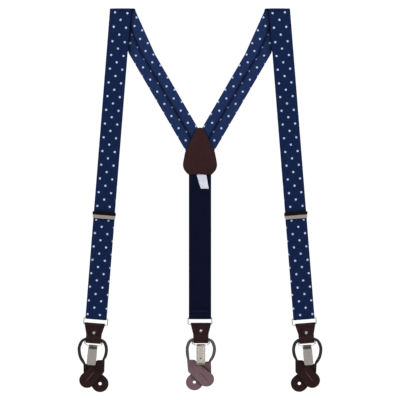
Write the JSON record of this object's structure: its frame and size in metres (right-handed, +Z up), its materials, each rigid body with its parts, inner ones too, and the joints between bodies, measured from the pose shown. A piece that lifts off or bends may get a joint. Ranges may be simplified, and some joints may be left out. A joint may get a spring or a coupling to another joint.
{
  "type": "suspenders",
  "caption": "Y-back trouser suspenders with dotted straps, leather yoke and tabs, slide adjusters, flip clips and cord-hung button tabs.",
  "frame": {"origin": "middle of the inner face of the leather yoke", "axes": "+X to the right as seen from the inner side, +Y out of the wearer's back, +Z up"},
  "size_m": [0.3842, 0.0272, 0.603],
  "materials": {
    "dotted_fabric": "woven navy with white dots",
    "elastic": "plain dark navy rib",
    "label": "woven satin, blank",
    "brown_leather": "smooth dark brown",
    "cord_leather": "rolled dark brown",
    "nickel": "satin nickel plate",
    "dark_steel": "blued spring steel",
    "rubber_pad": "matt black"
  },
  "bodies": {
    "back": {"left_back_strap": "dotted_fabric", "right_back_strap": "dotted_fabric", "back_elastic": "elastic", "yoke_inner_patch": "brown_leather", "yoke_outer_patch": "brown_leather", "care_label": "label"},
    "left_front": {"left_front_strap": "dotted_fabric"},
    "left_adjuster": {"left_adjuster_frame": "nickel", "left_adjuster_pin": "nickel"},
    "left_adjuster_flap": {"left_adjuster_cover": "nickel"},
    "left_foot": {"left_strap_return": "dotted_fabric"},
    "right_front": {"right_front_strap": "dotted_fabric"},
    "right_adjuster": {"right_adjuster_frame": "nickel", "right_adjuster_pin": "nickel"},
    "right_adjuster_flap": {"right_adjuster_cover": "nickel"},
    "right_foot": {"right_strap_return": "dotted_fabric"},
    "back_foot": {"back_elastic_loop": "elastic"},
    "left_ring_body": {"left_ring": "nickel"},
    "left_leather": {"left_leather_tab": "brown_leather", "left_rivet": "nickel", "left_rivet_burr": "nickel"},
    "left_bail_body": {"left_clip_bail": "nickel"},
    "left_clip": {"left_clip_body": "nickel", "left_clip_pins": "nickel", "left_clip_spring": "dark_steel", "left_clip_grip": "rubber_pad"},
    "left_lever": {"left_clip_lever": "nickel"},
    "left_jaw": {"left_clip_jaw": "dark_steel"},
    "left_cord": {"left_cord_loop": "cord_leather"},
    "left_slit_tab": {"left_button_tab_slit": "brown_leather"},
    "left_holed_tab": {"left_button_tab_holed": "brown_leather"},
    "right_ring_body": {"right_ring": "nickel"},
    "right_leather": {"right_leather_tab": "brown_leather", "right_rivet": "nickel", "right_rivet_burr": "nickel"},
    "right_bail_body": {"right_clip_bail": "nickel"},
    "right_clip": {"right_clip_body": "nickel", "right_clip_pins": "nickel", "right_clip_spring": "dark_steel", "right_clip_grip": "rubber_pad"},
    "right_lever": {"right_clip_lever": "nickel"},
    "right_jaw": {"right_clip_jaw": "dark_steel"},
    "right_cord": {"right_cord_loop": "cord_leather"},
    "right_slit_tab": {"right_button_tab_slit": "brown_leather"},
    "right_holed_tab": {"right_button_tab_holed": "brown_leather"},
    "back_ring_body": {"back_ring": "nickel"},
    "back_leather": {"back_leather_tab": "brown_leather", "back_rivet": "nickel", "back_rivet_burr": "nickel"},
    "back_bail_body": {"back_clip_bail": "nickel"},
    "back_clip": {"back_clip_body": "nickel", "back_clip_pins": "nickel", "back_clip_spring": "dark_steel", "back_clip_grip": "rubber_pad"},
    "back_lever": {"back_clip_lever": "nickel"},
    "back_jaw": {"back_clip_jaw": "dark_steel"},
    "back_cord": {"back_cord_loop": "cord_leather"},
    "back_slit_tab": {"back_button_tab_slit": "brown_leather"},
    "back_holed_tab": {"back_button_tab_holed": "brown_leather"}
  },
  "joints": [
    {"name": "left_shoulder_fold", "type": "hinge", "parent": "back", "child": "left_front", "pos_m": [-0.1248, 0.0007, 0.2205], "axis": [-1, 0, 0], "range_deg": [0, 170], "deforming": ["left_back_strap", "left_front_strap"]},
    {"name": "left_adjuster_slide", "type": "slide", "parent": "left_front", "child": "left_adjuster", "axis": [0.0793, 0, 0.9968], "range_m": [-0.22, 0.22]},
    {"name": "left_strap_length", "type": "slide", "parent": "left_front", "child": "left_foot", "axis": [0.0793, 0, 0.9968], "range_m": [-0.11, 0.11], "deforming": ["left_front_strap", "left_strap_return"]},
    {"name": "left_adjuster_cover_hinge", "type": "hinge", "parent": "left_adjuster", "child": "left_adjuster_flap", "pos_m": [-0.15008, -0.0039, -0.0972], "axis": [-0.9968, 0, 0.0793], "range_deg": [0, 100]},
    {"name": "right_shoulder_fold", "type": "hinge", "parent": "back", "child": "right_front", "pos_m": [0.1248, 0.0007, 0.2205], "axis": [-1, 0, 0], "range_deg": [0, 170], "deforming": ["right_back_strap", "right_front_strap"]},
    {"name": "right_adjuster_slide", "type": "slide", "parent": "right_front", "child": "right_adjuster", "axis": [-0.0793, 0, 0.9968], "range_m": [-0.22, 0.22]},
    {"name": "right_strap_length", "type": "slide", "parent": "right_front", "child": "right_foot", "axis": [-0.0793, 0, 0.9968], "range_m": [-0.11, 0.11], "deforming": ["right_front_strap", "right_strap_return"]},
    {"name": "right_adjuster_cover_hinge", "type": "hinge", "parent": "right_adjuster", "child": "right_adjuster_flap", "pos_m": [0.15008, -0.0039, -0.0972], "axis": [-0.9968, 0, -0.0793], "range_deg": [0, 100]},
    {"name": "back_stretch", "type": "slide", "parent": "back", "child": "back_foot", "axis": [0, 0, -1], "range_m": [0, 0.06], "deforming": ["back_elastic"]},
    {"name": "left_ring_swing", "type": "hinge", "parent": "left_foot", "child": "left_ring_body", "pos_m": [-0.1632, 0.0002, -0.26197], "axis": [0.9968, 0, -0.0793], "range_deg": [-75, 75]},
    {"name": "left_tab_swing", "type": "hinge", "parent": "left_ring_body", "child": "left_leather", "pos_m": [-0.16402, 0.0002, -0.27234], "axis": [-0.9968, 0, 0.0793], "range_deg": [-75, 75]},
    {"name": "left_bail_swing", "type": "hinge", "parent": "left_leather", "child": "left_bail_body", "pos_m": [-0.16747, 0.0002, -0.29925], "axis": [-0.9968, 0, 0.0793], "range_deg": [0, 45]},
    {"name": "left_clip_swing", "type": "hinge", "parent": "left_bail_body", "child": "left_clip", "pos_m": [-0.16797, 0.0002, -0.30563], "axis": [-0.9968, 0, 0.0793], "range_deg": [0, 45]},
    {"name": "left_lever_hinge", "type": "hinge", "parent": "left_clip", "child": "left_lever", "pos_m": [-0.16842, -0.00301, -0.31122], "axis": [-0.9968, 0, 0.0793], "range_deg": [0, 85]},
    {"name": "left_jaw_hinge", "type": "hinge", "parent": "left_clip", "child": "left_jaw", "pos_m": [-0.16872, -0.00153, -0.31505], "axis": [-0.9968, 0, 0.0793], "range_deg": [0, 10.2]},
    {"name": "left_cord_swing", "type": "hinge", "parent": "left_leather", "child": "left_cord", "pos_m": [-0.1672, 0.0002, -0.29596], "axis": [0.9968, 0, -0.0793], "range_deg": [0, 120]},
    {"name": "left_slit_tab_swing", "type": "hinge", "parent": "left_cord", "child": "left_slit_tab", "pos_m": [-0.1519, 0.00289, -0.32806], "axis": [-0.0069, -0.9962, -0.0869], "range_deg": [-8, 8]},
    {"name": "left_holed_tab_swing", "type": "hinge", "parent": "left_cord", "child": "left_holed_tab", "pos_m": [-0.18144, 0.00369, -0.3349], "axis": [0.0069, 0.9962, 0.0869], "range_deg": [-8, 8]},
    {"name": "right_ring_swing", "type": "hinge", "parent": "right_foot", "child": "right_ring_body", "pos_m": [0.1632, 0.0002, -0.26197], "axis": [0.9968, 0, 0.0793], "range_deg": [-75, 75]},
    {"name": "right_tab_swing", "type": "hinge", "parent": "right_ring_body", "child": "right_leather", "pos_m": [0.16402, 0.0002, -0.27234], "axis": [-0.9968, 0, -0.0793], "range_deg": [-75, 75]},
    {"name": "right_bail_swing", "type": "hinge", "parent": "right_leather", "child": "right_bail_body", "pos_m": [0.16747, 0.0002, -0.29925], "axis": [-0.9968, 0, -0.0793], "range_deg": [0, 45]},
    {"name": "right_clip_swing", "type": "hinge", "parent": "right_bail_body", "child": "right_clip", "pos_m": [0.16797, 0.0002, -0.30563], "axis": [-0.9968, 0, -0.0793], "range_deg": [0, 45]},
    {"name": "right_lever_hinge", "type": "hinge", "parent": "right_clip", "child": "right_lever", "pos_m": [0.16842, -0.00301, -0.31122], "axis": [-0.9968, 0, -0.0793], "range_deg": [0, 85]},
    {"name": "right_jaw_hinge", "type": "hinge", "parent": "right_clip", "child": "right_jaw", "pos_m": [0.16872, -0.00153, -0.31505], "axis": [-0.9968, 0, -0.0793], "range_deg": [0, 10.2]},
    {"name": "right_cord_swing", "type": "hinge", "parent": "right_leather", "child": "right_cord", "pos_m": [0.1672, 0.0002, -0.29596], "axis": [0.9968, 0, 0.0793], "range_deg": [0, 120]},
    {"name": "right_slit_tab_swing", "type": "hinge", "parent": "right_cord", "child": "right_slit_tab", "pos_m": [0.1519, 0.00289, -0.32806], "axis": [-0.0069, 0.9962, 0.0869], "range_deg": [-8, 8]},
    {"name": "right_holed_tab_swing", "type": "hinge", "parent": "right_cord", "child": "right_holed_tab", "pos_m": [0.18144, 0.00369, -0.3349], "axis": [0.0069, -0.9962, -0.0869], "range_deg": [-8, 8]},
    {"name": "back_ring_swing", "type": "hinge", "parent": "back_foot", "child": "back_ring_body", "pos_m": [0, 0.0012, -0.2616], "axis": [-1, 0, 0], "range_deg": [-75, 75]},
    {"name": "back_tab_swing", "type": "hinge", "parent": "back_ring_body", "child": "back_leather", "pos_m": [0, 0.0012, -0.272], "axis": [1, 0, 0], "range_deg": [-75, 75]},
    {"name": "back_bail_swing", "type": "hinge", "parent": "back_leather", "child": "back_bail_body", "pos_m": [0.0013, 0.0012, -0.2991], "axis": [-1, 0, 0], "range_deg": [0, 30]},
    {"name": "back_clip_swing", "type": "hinge", "parent": "back_bail_body", "child": "back_clip", "pos_m": [0.0013, 0.0012, -0.3047], "axis": [-1, 0, 0], "range_deg": [0, 45]},
    {"name": "back_lever_hinge", "type": "hinge", "parent": "back_clip", "child": "back_lever", "pos_m": [0.0013, 0.0023, -0.31107], "axis": [1, 0, 0], "range_deg": [0, 85]},
    {"name": "back_jaw_hinge", "type": "hinge", "parent": "back_clip", "child": "back_jaw", "pos_m": [0.0013, -0.0004, -0.31417], "axis": [1, 0, 0], "range_deg": [0, 10.2]},
    {"name": "back_cord_swing", "type": "hinge", "parent": "back_leather", "child": "back_cord", "pos_m": [0.0013, 0.0012, -0.2958], "axis": [1, 0, 0], "range_deg": [0, 55.25]},
    {"name": "back_slit_tab_swing", "type": "hinge", "parent": "back_cord", "child": "back_slit_tab", "pos_m": [-0.0183, 0.00693, -0.3283], "axis": [0, 0.9848, 0.1736], "range_deg": [-8, 8]},
    {"name": "back_holed_tab_swing", "type": "hinge", "parent": "back_cord", "child": "back_holed_tab", "pos_m": [0.0152, 0.0075, -0.33155], "axis": [0, -0.9848, -0.1736], "range_deg": [-8, 8]}
  ],
  "couplings": [
    {"joint": "left_strap_length", "follows": "left_adjuster_slide", "ratio": 0.5},
    {"joint": "right_strap_length", "follows": "right_adjuster_slide", "ratio": 0.5},
    {"joint": "left_jaw_hinge", "follows": "left_lever_hinge", "ratio": 0.12},
    {"joint": "right_jaw_hinge", "follows": "right_lever_hinge", "ratio": 0.12},
    {"joint": "back_jaw_hinge", "follows": "back_lever_hinge", "ratio": 0.12},
    {"joint": "back_cord_swing", "follows": "back_lever_hinge", "ratio": 0.65}
  ]
}
